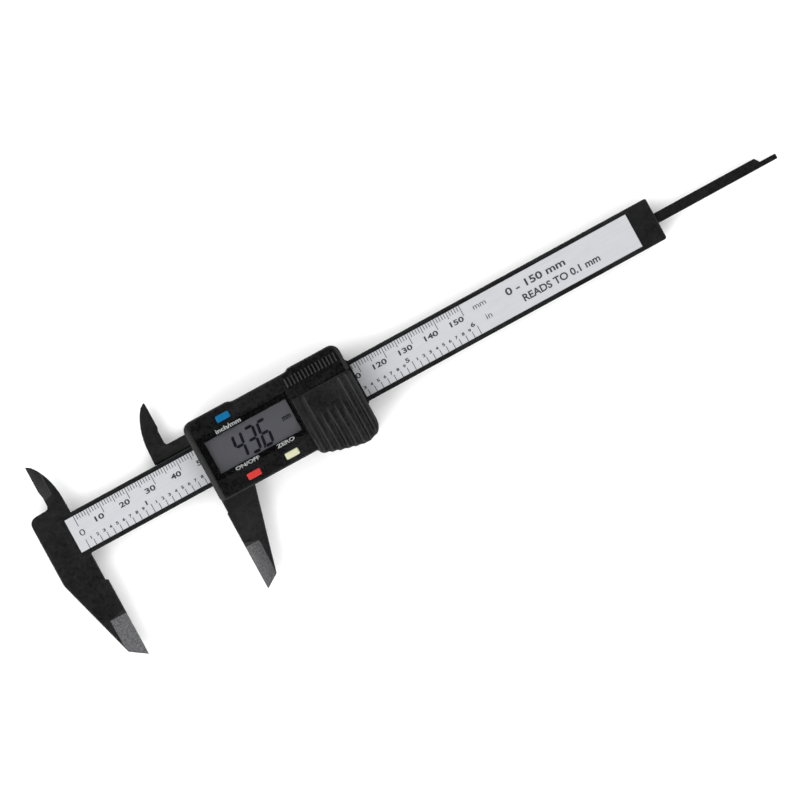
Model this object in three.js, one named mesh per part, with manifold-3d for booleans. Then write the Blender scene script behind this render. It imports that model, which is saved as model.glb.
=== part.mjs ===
// Digital caliper, 0 to 150 mm, with outside jaws, inside jaws, a depth rod and a display slider.
// Millimetres. It lies on its back: +X runs along the beam towards the depth rod, +Y towards the
// inside jaws and +Z up through the display. Before the last step, x = 0 is the plane of the fixed
// outside face, y = 0 is the beam's centre line and z = 0 is the plane that it rests on. The slider's
// own x starts at the face of its outside jaw.
import * as THREE from 'three';
import { mergeVertices } from 'three/addons/utils/BufferGeometryUtils.js';
import Module from 'manifold-3d';

const wasm = await Module();
wasm.setup();

// ---------------------------------------------------------------- driving dimensions

const opening = 46.4; // gap between the outside faces, as stored
const past = 2; // how far a cutter reaches beyond what it cuts
const fit = 0.05; // gap beside a piece that sits in another

const beamLeft = -14.4;
const beamRight = 223.4;
const beamHalf = 7.8;
const beamLow = 2.0;
const beamHigh = 6.0;
const beamEdge = 0.35;

const backLayerHigh = 3.9; // the moving inside jaw lies below this height
const frontLayerLow = 4.1; // and the fixed one above this, so that they pass each other

const labelLeft = -3.6;
const labelRight = 214.7;
const labelHalf = 6.2;
const labelHigh = 5.92;
const labelThick = 0.14;
const boardThick = 0.85;

const jawTip = -47.6; // y of the outside jaws' tips
const jawRelief = -18.3; // above this y the outside faces stand back
const insideTip = 28.6; // y of the inside jaws' tips
const insideEdge = -6.82; // x of both inside edges when the caliper is closed
const knifeDepth = 1.35; // how much an outside jaw's tip is thinned, on each side
const insideKnifeDepth = 1.0; // how much an inside jaw is thinned, on its outer side
const outsideKnife = { edge: 0, start: -31.4, tip: jawTip };
const insideKnife = { edge: insideEdge, start: 16.4, tip: insideTip, step: 0.3 };
const insideRim = 0.2;

const rodHalf = 1.87;
const rodLow = 2.15;
const rodHigh = 3.75;
const rodStart = 44;
const rodTip = beamRight; // level with the end of the beam when closed
const channelGap = 0.15;

const endStopX = 219.5;
const endStopScrewYs = [-4.9, 4.9];
const endScrewHigh = 5.0;
const endStopHigh = beamLow - fit;

const bodyLeft = 0.3;
const bodyRight = 60.4;
const bodyBottom = -14.1;
const bodyTop = 15.45;
const bodyWaist = 14.65; // the top edge between its two raised ends
const collarRight = 61.1;
const cornerRadius = 3.2;

const rearHigh = 1.1;
const frameLow = 1.15;
const frameHigh = 7.4;
const floorHigh = 1.85;
const housingLow = 7.45;
const housingHigh = 12.6;
const roofThick = 1.4;
const wall = 1.3;
const crownEdge = 0.5; // slope along the housing's top edges

const blockLeft = 37.9; // the raised right end of the housing
const blockHigh = 13.6;
const deckHigh = 9.2;
const deckThick = 1.0;
const coverTopY = 5.2;
const coverLow = 9.3;
const coverHigh = 14.5;
const coverCeiling = 13.35;

const groovePitch = 2.69;
const lastGroove = 57.8;
const grooveWidth = 0.8;
const grooveDepth = 0.5;
const treads = [-16.25, -17.1, -17.92, -18.6, -19.28, -19.78]; // the grip's lower edge, rib by rib
const lowestGrip = -19.8;
const lastTread = -18.93;
const treadFall = 0.15; // how far a tread falls towards the next groove
const stepBefore = 0.75; // the step down to the next tread begins this far before its groove
const stepAfter = 0.15;
const zebraYs = [-4.5, 5.9];

const pcbLow = 6.45;
const pcbHigh = 7.25;
const cellX = 48.6;
const cellY = -4.4;
const cellRadius = 5.8;
const cellLow = 7.8;
const cellHeight = 5.4;

const screwRadius = 0.9;
const screwHead = 1.75;
const rearScrewHigh = 10.6;

// Each button: its node, its switch's node, its centre and its colour.
const buttons = [
  { name: 'unit_button', dome: 'unit_switch', x: 14.6, y: 11.45, colour: 0x147dbe },
  { name: 'power_button', dome: 'power_switch', x: 14.75, y: -10.9, colour: 0xe63c3c },
  { name: 'zero_button', dome: 'zero_switch', x: 29.45, y: -11.0, colour: 0xeeecbe },
];

// The four screws that hold rear cover, frame and housing together.
const rearScrews = [
  { x: 4.5, y: 11.1, bossHigh: 11.4 },
  { x: 56.3, y: 11.0, bossHigh: 12.4 },
  { x: 4.5, y: -10.9, bossHigh: 11.4 },
  { x: 56.4, y: -10.4, bossHigh: 11.4 },
];

// ---------------------------------------------------------------- shapes and solids

function toSolid(geometry) {
  const bare = geometry.clone();
  bare.deleteAttribute('normal');
  bare.deleteAttribute('uv');
  const merged = mergeVertices(bare, 1e-4);
  return new wasm.Manifold(new wasm.Mesh({
    numProp: 3,
    vertProperties: new Float32Array(merged.attributes.position.array),
    triVerts: new Uint32Array(merged.index.array),
  }));
}

function toGeometry(solid) {
  const mesh = solid.getMesh();
  const geometry = new THREE.BufferGeometry();
  const positions = new Float32Array(mesh.vertProperties);
  geometry.setAttribute('position', new THREE.BufferAttribute(positions, 3));
  geometry.setIndex(new THREE.BufferAttribute(new Uint32Array(mesh.triVerts), 1));
  geometry.computeVertexNormals();
  return geometry;
}

// Rounds one corner of a path with a true arc of the given radius.
function roundCorner(path, before, corner, after, radius) {
  const back = before.clone().sub(corner).normalize();
  const on = after.clone().sub(corner).normalize();
  const halfAngle = Math.acos(back.dot(on)) / 2;
  const reach = radius / Math.tan(halfAngle);
  const first = corner.clone().addScaledVector(back, reach);
  const last = corner.clone().addScaledVector(on, reach);
  const middle = back.clone().add(on).normalize();
  const centre = corner.clone().addScaledVector(middle, radius / Math.sin(halfAngle));
  const clockwise = back.cross(on) > 0;
  const start = Math.atan2(first.y - centre.y, first.x - centre.x);
  const end = Math.atan2(last.y - centre.y, last.x - centre.x);
  path.lineTo(first.x, first.y);
  path.absarc(centre.x, centre.y, radius, start, end, clockwise);
}

// A closed outline through corners [x, y, radius]. The first corner is sharp.
function outlineOf(corners) {
  const shape = new THREE.Shape();
  const points = corners.map(([x, y]) => new THREE.Vector2(x, y));
  shape.moveTo(points[0].x, points[0].y);
  for (let i = 1; i < points.length; i += 1) {
    const radius = corners[i][2] ?? 0;
    const next = points[(i + 1) % points.length];
    if (radius > 0) {
      roundCorner(shape, points[i - 1], points[i], next, radius);
    } else {
      shape.lineTo(points[i].x, points[i].y);
    }
  }
  shape.closePath();
  return shape;
}

function roundedRectangle(left, right, low, high, radius) {
  return outlineOf([
    [(left + right) / 2, low],
    [right, low, radius],
    [right, high, radius],
    [left, high, radius],
    [left, low, radius],
  ]);
}

// An outline raised from low to high, with both rims sloped off by edge.
function slab(shape, low, high, edge = 0, curveSegments = 3) {
  const geometry = new THREE.ExtrudeGeometry(shape, {
    depth: high - low - 2 * edge,
    bevelEnabled: edge > 0,
    bevelThickness: edge,
    bevelSize: edge,
    bevelOffset: -edge,
    bevelSegments: 1,
    curveSegments,
  });
  geometry.translate(0, 0, low + edge);
  return toSolid(geometry);
}

function block(left, right, near, far, low, high) {
  const geometry = new THREE.BoxGeometry(right - left, far - near, high - low);
  geometry.translate((left + right) / 2, (near + far) / 2, (low + high) / 2);
  return toSolid(geometry);
}

// The same as slab, with only the upper rim sloped off.
function crown(shape, low, high, edge) {
  const whole = slab(shape, low - edge - fit, high, edge);
  return whole.subtract(block(-100, 300, -100, 100, low - past - edge, low));
}

// An upright cone or cylinder.
function disc(x, y, lowRadius, highRadius, low, high, sides = 20) {
  const geometry = new THREE.CylinderGeometry(highRadius, lowRadius, high - low, sides);
  geometry.rotateX(Math.PI / 2);
  geometry.translate(x, y, (low + high) / 2);
  return toSolid(geometry);
}

// A prism along X whose section is a list of [y, z].
function prismAlongX(section, left, right) {
  const shape = outlineOf(section);
  const geometry = new THREE.ExtrudeGeometry(shape, { depth: right - left, bevelEnabled: false });
  const turn = new THREE.Matrix4().makeBasis(
    new THREE.Vector3(0, 1, 0),
    new THREE.Vector3(0, 0, 1),
    new THREE.Vector3(1, 0, 0),
  );
  geometry.applyMatrix4(turn);
  geometry.translate(left, 0, 0);
  return toSolid(geometry);
}

// A prism along Y whose section is a list of [x, z].
function prismAlongY(section, near, far) {
  const shape = outlineOf(section.map(([x, z]) => [z, x]));
  const geometry = new THREE.ExtrudeGeometry(shape, { depth: far - near, bevelEnabled: false });
  const turn = new THREE.Matrix4().makeBasis(
    new THREE.Vector3(0, 0, 1),
    new THREE.Vector3(1, 0, 0),
    new THREE.Vector3(0, 1, 0),
  );
  geometry.applyMatrix4(turn);
  geometry.translate(0, near, 0);
  return toSolid(geometry);
}

// What is cut away to thin a jaw towards its measuring edge. The flat falls from x = inner at the
// face to depth at x = edge, and runs from y = start to the tip. A run-out rises from its start back
// to the face. A step lets the flat begin that much below the face, at the foot of a slope. A
// negative depth thins the jaw from below.
function knifeCut({ inner, edge, start, tip, face, depth, step = 0 }) {
  const runOutSlope = 0.85;
  const outward = Math.sign(edge - inner);
  const tipward = Math.sign(tip - start);
  const far = edge + outward * past;
  const below = face - depth * (1 + past / Math.abs(edge - inner));
  const above = face + past * Math.sign(depth);
  const foot = face - step * Math.sign(depth);
  const brow = inner - outward * step;
  const section = [[brow, face], [inner, foot], [far, below], [far, above], [brow, above]];
  const wedge = (near, farther) => (
    prismAlongY(section, Math.min(near, farther), Math.max(near, farther))
  );
  const flat = wedge(start, tip + past * tipward);
  const lean = -runOutSlope * Math.sign(depth) * tipward;
  const shear = new THREE.Matrix4().makeShear(0, 0, 0, lean, 0, 0);
  shear.setPosition(0, 0, -lean * start);
  const runOut = wedge(start, start - 2 * past * tipward).transform(shear.elements);
  return flat.add(runOut);
}

// A countersunk screw standing head down, with a cross recess.
function countersunkScrew(x, y, low, high) {
  const headHigh = low + screwHead - screwRadius;
  const armLength = 1.0;
  const armHalf = 0.2;
  const recess = low + 0.45;
  return disc(x, y, screwHead, screwRadius, low, headHigh)
    .add(disc(x, y, screwRadius, screwRadius, headHigh - 0.1, high))
    .subtract(block(x - armLength, x + armLength, y - armHalf, y + armHalf, low - 1, recess))
    .subtract(block(x - armHalf, x + armHalf, y - armLength, y + armLength, low - 1, recess));
}

// The clearance hole for such a screw, through plates from low to high.
function screwHole(x, y, low, high) {
  const cone = screwHead - screwRadius;
  return disc(x, y, screwHead + 0.15, screwRadius + 0.1, low - 0.05, low + cone + 0.05)
    .add(disc(x, y, screwRadius + 0.1, screwRadius + 0.1, low, high));
}

// ---------------------------------------------------------------- outlines

function grooveX(index) {
  return lastGroove - groovePitch * (treads.length - index);
}

// Adds the thumb grip's lower edge to a path: one tread per rib, with a step at each groove.
function addGripEdge(path, inset) {
  const right = bodyRight - inset;
  const [firstTread, ...otherTreads] = treads;
  path.quadraticCurveTo(38.6, firstTread + 0.2 + inset, 39.7, firstTread + inset);
  otherTreads.forEach((tread, index) => {
    const x = grooveX(index);
    path.lineTo(x - stepBefore, treads[index] - treadFall + inset);
    path.lineTo(x + stepAfter, tread + inset);
  });
  path.lineTo(grooveX(otherTreads.length) + stepAfter, lowestGrip + inset);
  path.lineTo(lastGroove - stepBefore, lastTread - treadFall + inset);
  path.lineTo(lastGroove + stepAfter, lastTread + inset);
  path.quadraticCurveTo(59.1 - 0.5 * inset, -18.5 + inset, 59.9 - inset, -16.7 + 0.5 * inset);
  path.quadraticCurveTo(right, -15.6, right, -14.2);
}

// The slider's outline seen from above.
function bodyOutline(inset) {
  const left = bodyLeft + inset;
  const right = bodyRight - inset;
  const top = bodyTop - inset;
  const waist = bodyWaist - inset;
  const low = bodyBottom + inset;
  const shape = new THREE.Shape();
  shape.moveTo(left + 1.6, low);
  shape.lineTo(37.2, low);
  shape.quadraticCurveTo(37.7, low, 38, low - 0.75);
  addGripEdge(shape, inset);
  shape.lineTo(right, top - cornerRadius);
  shape.absarc(right - cornerRadius, top - cornerRadius, cornerRadius, 0, Math.PI / 2, false);
  shape.lineTo(42.1, top);
  shape.bezierCurveTo(41.1, top, 41.1, waist, 40.1, waist);
  shape.lineTo(20.2, waist);
  shape.bezierCurveTo(18.9, waist, 18.9, top, 17.6, top);
  shape.lineTo(left + cornerRadius, top);
  shape.absarc(left + cornerRadius, top - cornerRadius, cornerRadius, Math.PI / 2, Math.PI, false);
  shape.lineTo(left, low + 1.6);
  shape.quadraticCurveTo(left, low, left + 1.6, low);
  return shape;
}

// The battery cover's outline: the grip edge below and a straight edge above.
function coverOutline(inset) {
  const shape = new THREE.Shape();
  const left = blockLeft + 0.1;
  const right = bodyRight - inset;
  const top = coverTopY - inset;
  shape.moveTo(left, bodyBottom - 0.75 + inset);
  addGripEdge(shape, inset);
  shape.lineTo(right, top - 1.6);
  shape.quadraticCurveTo(right, top, right - 1.6, top);
  shape.lineTo(left, top);
  shape.closePath();
  return shape;
}

// The short collar round the beam at the slider's right end.
function collar(low, high) {
  const half = 8.8;
  const shape = outlineOf([
    [bodyRight - 2, -half],
    [bodyRight - 0.1, -half],
    [collarRight, -half + 1],
    [collarRight, half - 1],
    [bodyRight - 0.1, half],
    [bodyRight - 2, half],
  ]);
  return slab(shape, low, high);
}

// ---------------------------------------------------------------- beam and what is fixed to it

function makeBeam() {
  const flat = outlineOf([
    [beamRight - 20, -beamHalf],
    [beamRight, -beamHalf, 0.8],
    [beamRight, beamHalf, 0.8],
    [beamLeft, beamHalf, 0.5],
    [beamLeft, -13.4, 6],
    [-5.8, -43.6, 1.2],
    [0, jawTip],
    [0, jawRelief - 0.3],
    [-0.9, jawRelief + 0.3],
    [-0.9, -beamHalf, 0.6],
  ]);
  const upper = new THREE.Shape();
  upper.moveTo(-0.25, beamHalf - 1);
  upper.lineTo(-0.36, 13);
  upper.bezierCurveTo(-0.4, 19.6, -2.7, 24.9, -5.1, 27.6);
  upper.lineTo(-6.6, insideTip);
  upper.lineTo(insideEdge, insideTip - 0.3);
  upper.lineTo(insideEdge, 19);
  upper.lineTo(-6.35, 16.6);
  upper.lineTo(-6.35, 13.8);
  upper.quadraticCurveTo(-6.45, 12.2, -7.9, 12.2);
  upper.lineTo(beamLeft + 3.4, 12.1);
  upper.quadraticCurveTo(beamLeft, 12.1, beamLeft, 8.8);
  upper.lineTo(beamLeft, beamHalf - 1);
  upper.closePath();
  const recessLow = labelHigh - labelThick - boardThick - 2 * fit;
  const channelHalf = rodHalf + channelGap;
  let solid = slab(flat, beamLow, beamHigh, beamEdge)
    .add(slab(upper, frontLayerLow, beamHigh, insideRim, 8))
    .subtract(block(
      labelLeft - 0.15,
      labelRight + 0.15,
      -labelHalf - 0.15,
      labelHalf + 0.15,
      recessLow,
      beamHigh + past,
    ))
    .subtract(block(
      30,
      beamRight + past,
      -channelHalf,
      channelHalf,
      beamLow - past,
      rodHigh + channelGap,
    ))
    .subtract(knifeCut({ ...outsideKnife, inner: -6.2, face: beamHigh, depth: knifeDepth }))
    .subtract(knifeCut({ ...outsideKnife, inner: -6.2, face: beamLow, depth: -knifeDepth }))
    .subtract(knifeCut({ ...insideKnife, inner: -3.3, face: beamHigh, depth: insideKnifeDepth }));
  for (const y of endStopScrewYs) {
    const radius = screwRadius + fit;
    solid = solid.subtract(disc(endStopX, y, radius, radius, beamLow - past, endScrewHigh + 0.1));
  }
  return solid;
}

function makeEndStop() {
  const plate = roundedRectangle(endStopX - 3, endStopX + 3, -beamHalf + 0.4, beamHalf - 0.4, 1);
  let solid = slab(plate, frameLow, endStopHigh, 0.15);
  for (const y of endStopScrewYs) {
    solid = solid.subtract(screwHole(endStopX, y, frameLow, beamLow + past));
  }
  return solid;
}

// ---------------------------------------------------------------- slider, back to front

function makeRearCover() {
  const plate = roundedRectangle(1.0, 59.4, -13.2, 14.0, cornerRadius);
  let solid = slab(plate, 0, rearHigh, 0.3);
  for (const { x, y } of rearScrews) {
    solid = solid.subtract(screwHole(x, y, 0, rearHigh + past));
  }
  return solid;
}

function makeSliderFrame() {
  const outsideJaw = outlineOf([
    [4, -8.4],
    [0.4, -8.4],
    [0.4, jawRelief + 0.3],
    [0, jawRelief - 0.3],
    [0, jawTip],
    [5.05, -44.3, 1.0],
    [14.15, -10.6],
    [14.15, -8.4],
  ]);
  const insideJaw = new THREE.Shape();
  insideJaw.moveTo(2, beamHalf + channelGap);
  insideJaw.lineTo(2, 12.4);
  insideJaw.lineTo(-6.3, 12.4);
  insideJaw.quadraticCurveTo(-7.2, 12.4, -7.28, 13.6);
  insideJaw.lineTo(-7.28, 17.6);
  insideJaw.lineTo(insideEdge, 19);
  insideJaw.lineTo(insideEdge, insideTip - 0.3);
  insideJaw.lineTo(-7.2, insideTip);
  insideJaw.lineTo(-8.74, 27.6);
  insideJaw.bezierCurveTo(-11.1, 24.9, -13.44, 19.6, -13.6, 13);
  insideJaw.lineTo(-13.78, beamHalf + channelGap);
  insideJaw.closePath();
  const channelHalf = beamHalf + channelGap;
  let solid = slab(bodyOutline(0.2), frameLow, frameHigh, 0.4)
    .add(slab(outsideJaw, beamLow, beamHigh, beamEdge))
    .add(slab(insideJaw, beamLow, backLayerHigh, insideRim, 8))
    .add(block(-13.3, bodyLeft + 3, 5, 8.9, frameLow + 0.2, floorHigh))
    .add(block(-13.3, bodyLeft + 3, channelHalf + 0.3, 8.9, floorHigh - 0.2, beamLow + 0.4))
    .add(collar(frameLow + 0.3, frameHigh))
    .subtract(block(-1, 70, -channelHalf, channelHalf, floorHigh, frameHigh + past))
    .subtract(block(7, 53.9, -12.75, 13.15, pcbLow - fit, frameHigh + past))
    .subtract(block(9, 51, channelHalf - 0.1, channelHalf + 0.3, 2.3, 5.9))
    .subtract(block(rodStart - 0.1, rodStart + 4.1, -1.5, 1.5, 0, beamLow + 0.2))
    .subtract(knifeCut({ ...outsideKnife, inner: 5.2, face: beamHigh, depth: knifeDepth }))
    .subtract(knifeCut({ ...outsideKnife, inner: 5.2, face: beamLow, depth: -knifeDepth }))
    .subtract(knifeCut({ ...insideKnife, inner: -10.5, face: beamLow, depth: -insideKnifeDepth }));
  for (const { x, y } of rearScrews) {
    const radius = screwRadius + 0.1;
    solid = solid.subtract(disc(x, y, radius, radius, 0, frameHigh + past));
  }
  return solid;
}

function makeDepthRod() {
  const outline = outlineOf([
    [rodStart + 10, -rodHalf],
    [rodTip, -rodHalf, 0.3],
    [rodTip, 0, 0.3],
    [rodTip - 6.0, 0, 0.4],
    [rodTip - 7.3, rodHalf, 0.6],
    [rodStart, rodHalf, 0.4],
    [rodStart, -rodHalf, 0.4],
  ]);
  return slab(outline, rodLow, rodHigh, 0.2)
    .add(block(rodStart, rodStart + 4, -1.4, 1.4, frameLow + 0.05, rodLow + 0.5))
    .subtract(disc(rodTip - 11.3, 0.1, 0.8, 1, rodHigh - 0.35, rodHigh + past));
}

// A bowed strip: it presses on the beam at its middle and on the frame at its ends.
function makeGibSpring() {
  const strip = new THREE.Shape();
  const near = beamHalf + 0.04;
  strip.moveTo(9.6, near + 0.16);
  strip.quadraticCurveTo(30, near - 0.1, 50.4, near + 0.16);
  strip.lineTo(50.4, near + 0.34);
  strip.quadraticCurveTo(30, near + 0.08, 9.6, near + 0.34);
  strip.closePath();
  return slab(strip, 2.5, 5.7);
}

function makeMainBoard() {
  const board = roundedRectangle(7.2, 53.7, -12.55, 12.95, 0.6);
  return slab(board, pcbLow, pcbHigh);
}

function makeHousing() {
  const outline = bodyOutline(0);
  const underDeck = deckHigh - deckThick;
  const ceiling = housingHigh - roofThick;
  const coverSpace = block(38.6, 70, -30, coverTopY + 0.1, deckHigh, 20);
  const leftSlope = [[-2, 11.25], [2.3, housingHigh], [2.3, 20], [-2, 20]];
  const rightSlope = [[59.1, blockHigh], [64, 9.45], [64, 20], [59.1, 20]];
  const railLeft = 40.4;
  const railRight = 58.4;
  let solid = crown(outline, housingLow, housingHigh, crownEdge)
    .add(crown(outline, housingLow, blockHigh, crownEdge)
      .intersect(block(blockLeft, 70, coverTopY + 0.1, 30, housingLow, 20)))
    .subtract(coverSpace)
    .subtract(prismAlongY(leftSlope, -30, 30))
    .subtract(prismAlongY(rightSlope, -30, 30))
    .add(block(blockLeft - 0.3, 38.6, -12.8, coverTopY + 0.2, 12, coverCeiling - 0.1))
    .subtract(block(bodyLeft + wall, 37.2, -12.7, 13.2, housingLow - past, ceiling))
    .subtract(block(38.8, 59, 6.7, 13.2, housingLow - past, blockHigh - roofThick))
    .subtract(block(38.8, 59, -13.4, coverTopY, housingLow - past, underDeck))
    .add(disc(cellX, cellY, cellRadius + 1.2, cellRadius + 1.2, housingLow, 12.9, 40))
    .add(block(railLeft, railRight, -13.4, -12.7, deckHigh - 0.2, 10.4))
    .add(block(railLeft, railRight, -14.2, -12.7, 10.3, 10.9))
    .add(block(0.4, 1.6, -7.5, 7.5, 6.2, housingLow + 0.2))
    .add(block(58.8, 60.3, -7.5, 7.5, 6.2, housingLow + 0.2))
    .add(collar(housingLow, deckHigh));
  for (const { x, y, bossHigh } of rearScrews) {
    solid = solid.add(disc(x, y, 2, 2, housingLow, bossHigh));
  }
  solid = solid
    .subtract(disc(cellX, cellY, cellRadius + 0.15, cellRadius + 0.15, 7, 14, 40))
    .subtract(block(cellX - 2.1, cellX + 2.1, cellY + 5, cellY + 7.6, 7, 12.1))
    .subtract(block(38.6, 70, coverTopY, coverTopY + 0.75, 9.85, 11.15))
    .subtract(block(2.35, 37.55, -7.35, 8.85, 11.76, 20))
    .subtract(block(4.4, 36.5, -5.7, 6.9, 11, 12));
  for (const { x, y } of rearScrews) {
    const radius = screwRadius + fit;
    solid = solid.subtract(disc(x, y, radius, radius, 5, rearScrewHigh + 0.2));
  }
  for (const { x, y } of buttons) {
    const slot = roundedRectangle(x - 2.65, x + 2.65, y - 1.3, y + 1.3, 0.5);
    solid = solid.subtract(slab(slot, 11, 14));
  }
  return addFineRidges(solid);
}

// Short raised ridges along the housing's top right end, steeper on their right side.
function addFineRidges(solid) {
  const count = 15;
  const pitch = 1.34;
  let ridged = solid;
  for (let i = 0; i < count; i += 1) {
    const x = 39.2 + i * pitch;
    const section = [[x - 0.55, 13.5], [x + 0.1, 14.05], [x + 0.2, 14.05], [x + 0.35, 13.5]];
    ridged = ridged.add(prismAlongY(section, 9.5, 12.7));
  }
  return ridged;
}

function makeBatteryCover() {
  const outer = coverOutline(0.05);
  const railTongue = slab(outer, 9.5, 10.15).intersect(block(40.6, 57.6, -30, -13.55, 9, 11));
  const railPassage = block(30, 41, -14.35, 0, coverLow - past, 11.1);
  let solid = crown(outer, coverLow, coverHigh, 0.7)
    .subtract(slab(coverOutline(wall), coverLow - past, coverCeiling))
    .subtract(block(30, 38.75, -30, 10, 8, coverCeiling))
    .subtract(railPassage)
    .add(railTongue)
    .add(block(41, 58, coverTopY - 0.8, coverTopY + 0.6, 10, 11));
  for (let i = 0; i <= treads.length; i += 1) {
    const x = grooveX(i);
    const low = coverHigh - grooveDepth;
    const half = grooveWidth / 2;
    const section = [[x - half, 16], [x - 0.5 * half, low], [x + 0.5 * half, low], [x + half, 16]];
    solid = solid.subtract(prismAlongY(section, -30, coverTopY - 1.6));
  }
  return solid.subtract(thumbDish());
}

// A shallow oval hollow in the cover, cut by a flattened ball.
function thumbDish() {
  const ball = new THREE.SphereGeometry(1, 28, 20);
  ball.scale(9.5, 6.6, 3.2);
  ball.translate(cellX, 0.4, coverHigh + 2.45);
  return toSolid(ball);
}

function makeButton({ x, y }) {
  const cap = roundedRectangle(x - 2.5, x + 2.5, y - 1.15, y + 1.15, 0.4);
  const flange = roundedRectangle(x - 3.3, x + 3.3, y - 1.55, y + 1.55, 0.4);
  return crown(cap, 10.8, 13.1, 0.25)
    .add(slab(flange, 10.3, 11.1))
    .add(disc(x, y, 1.1, 1.1, 8.0, 10.5, 16));
}

function makeSwitchDome({ x, y }) {
  const profile = [[0, 7.3], [1.5, 7.3], [1.5, 7.36], [1.05, 7.48], [0.5, 7.55], [0, 7.56]];
  const points = profile.map(([radius, height]) => new THREE.Vector2(radius, height));
  const geometry = new THREE.LatheGeometry(points, 20);
  geometry.rotateX(Math.PI / 2);
  geometry.translate(x, y, 0);
  return toSolid(geometry);
}

function makeLcdHolder() {
  const outer = roundedRectangle(2.2, 37.0, -7.6, 9.0, 0.5);
  let solid = slab(outer, housingLow, 10.9)
    .subtract(block(3.3, 36.7, -6.3, 7.7, 9.45, 12))
    .subtract(block(8, 32, -2.6, 4.0, 7, 10));
  for (const y of zebraYs) {
    solid = solid.subtract(block(5, 35, y - 1.1, y + 1.1, 7, 10));
  }
  return solid;
}

function makeCell() {
  const top = cellLow + cellHeight;
  const profile = [
    [0, cellLow],
    [cellRadius - 1.4, cellLow],
    [cellRadius - 1.2, cellLow + 0.4],
    [cellRadius - 0.3, cellLow + 0.5],
    [cellRadius, cellLow + 0.9],
    [cellRadius, top - 0.3],
    [cellRadius - 0.3, top],
    [0, top],
  ];
  const points = profile.map(([radius, height]) => new THREE.Vector2(radius, height));
  const geometry = new THREE.LatheGeometry(points, 40);
  geometry.rotateX(Math.PI / 2);
  geometry.translate(cellX, cellY, 0);
  return toSolid(geometry);
}

// A strip on the board that rises against the side of the cell.
function makePositiveContact() {
  const near = cellY + cellRadius + 0.08;
  const section = [
    [near + 0.1, 7.3],
    [near + 3.6, 7.3],
    [near + 3.6, 7.55],
    [near + 0.6, 7.55],
    [near + 0.25, 7.9],
    [near + 0.25, 11.6],
    [near, 11.6],
    [near, 7.6],
  ];
  return prismAlongX(section, cellX - 1.8, cellX + 1.8);
}

// A strip under the cell with a raised tip.
function makeNegativeContact() {
  const section = [
    [cellX - 5.5, 7.3],
    [cellX + 0.5, 7.3],
    [cellX + 2.5, 7.45],
    [cellX + 2.5, 7.7],
    [cellX + 0.3, 7.72],
    [cellX - 1.2, 7.55],
    [cellX - 5.5, 7.55],
  ];
  return prismAlongY(section, cellY - 1.2, cellY + 1.2);
}

// ---------------------------------------------------------------- assembly

function paint(color, roughness, metalness = 0) {
  return new THREE.MeshStandardMaterial({ color, roughness, metalness });
}

const blackPlastic = 0x1c1c1e;
const steel = 0xb9bcc0;

const caliper = new THREE.Group();
const fixedGroup = new THREE.Group();
const sliderGroup = new THREE.Group();
sliderGroup.position.x = opening;
caliper.add(fixedGroup, sliderGroup);

function place(group, name, solid, material) {
  const mesh = new THREE.Mesh(toGeometry(solid), material);
  mesh.name = name;
  group.add(mesh);
}

const labelLow = labelHigh - labelThick;
const stripLow = labelLow - fit - boardThick;
place(fixedGroup, 'beam', makeBeam(), paint(blackPlastic, 0.6));
place(fixedGroup, 'scale_board', block(
  labelLeft + 0.2,
  labelRight - 0.2,
  -labelHalf + 0.15,
  labelHalf - 0.15,
  stripLow,
  labelLow - fit,
), paint(0x2f5a3a, 0.5));
place(fixedGroup, 'scale_label', block(
  labelLeft,
  labelRight,
  -labelHalf,
  labelHalf,
  labelLow,
  labelHigh,
), paint(0xd2d2d6, 0.35, 0.6));
place(fixedGroup, 'end_stop', makeEndStop(), paint(steel, 0.4, 1));
endStopScrewYs.forEach((y, index) => {
  const screw = countersunkScrew(endStopX, y, frameLow + 0.05, endScrewHigh);
  place(fixedGroup, `end_stop_screw_${index + 1}`, screw, paint(steel, 0.3, 1));
});

place(sliderGroup, 'slider_frame', makeSliderFrame(), paint(blackPlastic, 0.6));
place(sliderGroup, 'depth_rod', makeDepthRod(), paint(0x1e1e20, 0.5));
place(sliderGroup, 'gib_spring', makeGibSpring(), paint(0xb58a4a, 0.35, 1));
place(sliderGroup, 'rear_cover', makeRearCover(), paint(blackPlastic, 0.65));
rearScrews.forEach(({ x, y }, index) => {
  const screw = countersunkScrew(x, y, 0.1, rearScrewHigh);
  place(sliderGroup, `rear_screw_${index + 1}`, screw, paint(steel, 0.3, 1));
});
place(sliderGroup, 'main_board', makeMainBoard(), paint(0x1f5a38, 0.5));
place(sliderGroup, 'controller_chip', block(17, 23, -2, 3.4, 7.32, 8.4), paint(0x111113, 0.4));
place(sliderGroup, 'clock_crystal', block(26, 28.2, -1.5, 3.4, 7.32, 8.8), paint(steel, 0.3, 1));
for (const button of buttons) {
  place(sliderGroup, button.dome, makeSwitchDome(button), paint(steel, 0.3, 1));
}
place(sliderGroup, 'lcd_holder', makeLcdHolder(), paint(0xd8d8d4, 0.6));
zebraYs.forEach((y, index) => {
  const strip = block(5.2, 34.8, y - 1, y + 1, 7.3, 9.44);
  place(sliderGroup, `zebra_strip_${index + 1}`, strip, paint(0xc8b8b0, 0.7));
});
place(sliderGroup, 'lcd_glass', block(3.4, 36.6, -6.2, 7.6, 9.5, 11.1), paint(0x8a8a90, 0.3));
place(sliderGroup, 'front_housing', makeHousing(), paint(blackPlastic, 0.6));
const maskSolid = block(2.45, 37.45, -7.25, 8.75, 11.8, 11.98)
  .subtract(block(4.8, 36.25, -5.45, 6.6, 11, 13));
place(sliderGroup, 'window_mask', maskSolid, paint(0x0c0c0e, 0.15));
const windowSlab = slab(roundedRectangle(2.45, 37.45, -7.25, 8.75, 0.4), 12.02, 12.55, 0.12);
const windowMaterial = paint(0xc8ccd0, 0.05);
windowMaterial.transparent = true;
windowMaterial.opacity = 0.3;
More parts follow.
